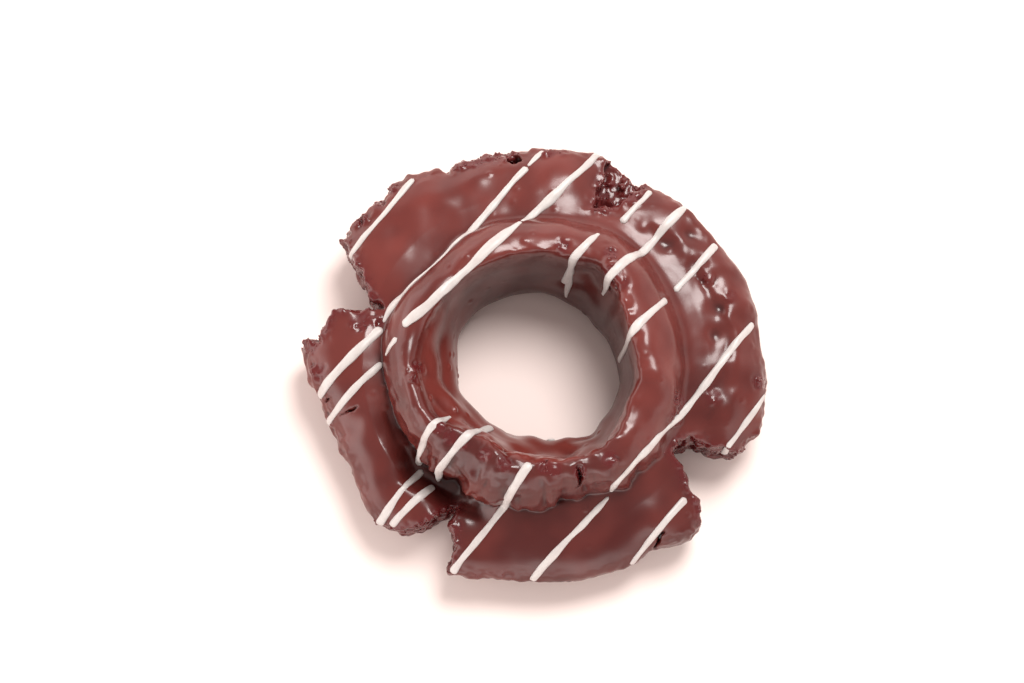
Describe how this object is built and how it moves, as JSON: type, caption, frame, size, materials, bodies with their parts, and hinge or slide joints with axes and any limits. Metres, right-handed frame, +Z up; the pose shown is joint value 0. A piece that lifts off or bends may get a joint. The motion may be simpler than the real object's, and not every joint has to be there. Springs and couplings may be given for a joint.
{
  "type": "old-fashioned doughnut, chocolate glazed",
  "caption": "Old-fashioned cake doughnut in chocolate glaze with white icing lines: a raised collar round the hole and a flange split into petals.",
  "frame": {"origin": "centre of the footprint's bounding box, on the surface the doughnut rests on", "axes": "+Z up, +X along its widest span"},
  "size_m": [0.092, 0.0864, 0.0275],
  "materials": {
    "chocolate_glaze": "set chocolate glaze, reddish brown, glossy over small lumps and rough on the torn faces",
    "white_icing": "set white icing, slightly warm, low gloss"
  },
  "bodies": {
    "root": {"doughnut": "chocolate_glaze"}
  },
  "joints": []
}
